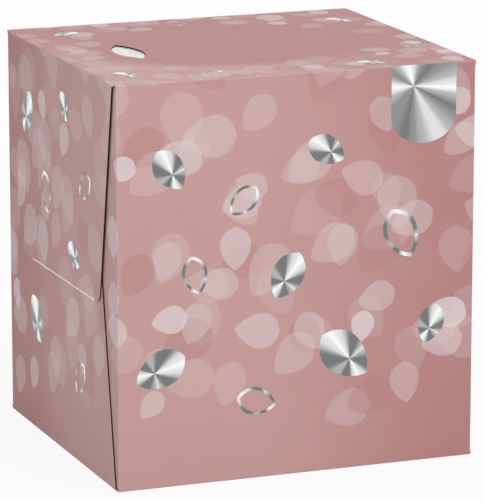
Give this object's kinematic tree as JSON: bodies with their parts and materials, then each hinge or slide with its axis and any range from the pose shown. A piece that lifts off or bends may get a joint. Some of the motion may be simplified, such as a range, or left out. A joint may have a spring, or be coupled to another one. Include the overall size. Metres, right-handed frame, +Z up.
{
  "type": "cube tissue box",
  "caption": "Sealed cube carton of facial tissues, with glued tapered end flaps and a perforated oval panel with a finger hole over slit film.",
  "frame": {"origin": "middle of the underside, on the surface that the box stands on", "axes": "+Z up, -Y out of the front panel, -X and +X out of the two glued ends"},
  "size_m": [0.1164, 0.1032, 0.1234],
  "materials": {
    "printed_board": "rose printed board with pale petals and silver foil, satin varnish",
    "clear_film": "thin clear film, slightly milky",
    "tissue_paper": "soft white tissue"
  },
  "bodies": {
    "root": {"carton": "printed_board", "opening_film": "clear_film", "tissue_stack": "tissue_paper"}
  },
  "joints": []
}
